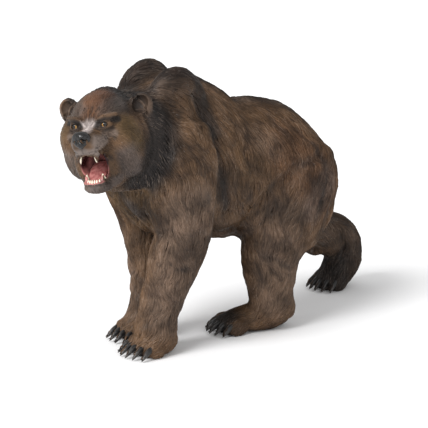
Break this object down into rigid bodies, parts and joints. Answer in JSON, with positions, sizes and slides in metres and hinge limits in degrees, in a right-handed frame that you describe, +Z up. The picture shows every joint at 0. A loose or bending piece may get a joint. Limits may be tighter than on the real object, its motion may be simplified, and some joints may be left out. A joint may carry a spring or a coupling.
{
  "type": "toy bear figure",
  "caption": "Painted moulded-plastic figure of a cave bear in mid-stride, its head turned to its left and its mouth open in a roar.",
  "frame": {"origin": "on the floor, under the middle of the figure's box", "axes": "+X towards the rump, so the bear faces -X; its left side is towards -Y; +Z up"},
  "size_m": [0.1596, 0.049, 0.0977],
  "materials": {
    "fur": "brown painted moulded fur with lighter dry-brushed ridges",
    "dark_fur": "charcoal painted moulded fur",
    "nose": "glossy black paint",
    "eye": "glossy amber paint with a black pupil",
    "tongue": "satin pink paint"
  },
  "bodies": {
    "root": {"belly": "fur", "chest": "fur", "ear_left": "fur", "ear_right": "fur", "eye_left": "eye", "eye_right": "eye", "forearm_left": "fur", "forearm_right": "fur", "forepaw_left": "fur", "forepaw_right": "fur", "head": "fur", "hindpaw_left": "dark_fur", "hindpaw_right": "dark_fur", "jaw": "fur", "neck": "dark_fur", "nose": "nose", "rump": "fur", "shank_left": "fur", "shank_right": "dark_fur", "tail": "fur", "thigh_left": "fur", "thigh_right": "fur", "tongue": "tongue", "upper_foreleg_left": "fur", "upper_foreleg_right": "fur"}
  },
  "joints": []
}
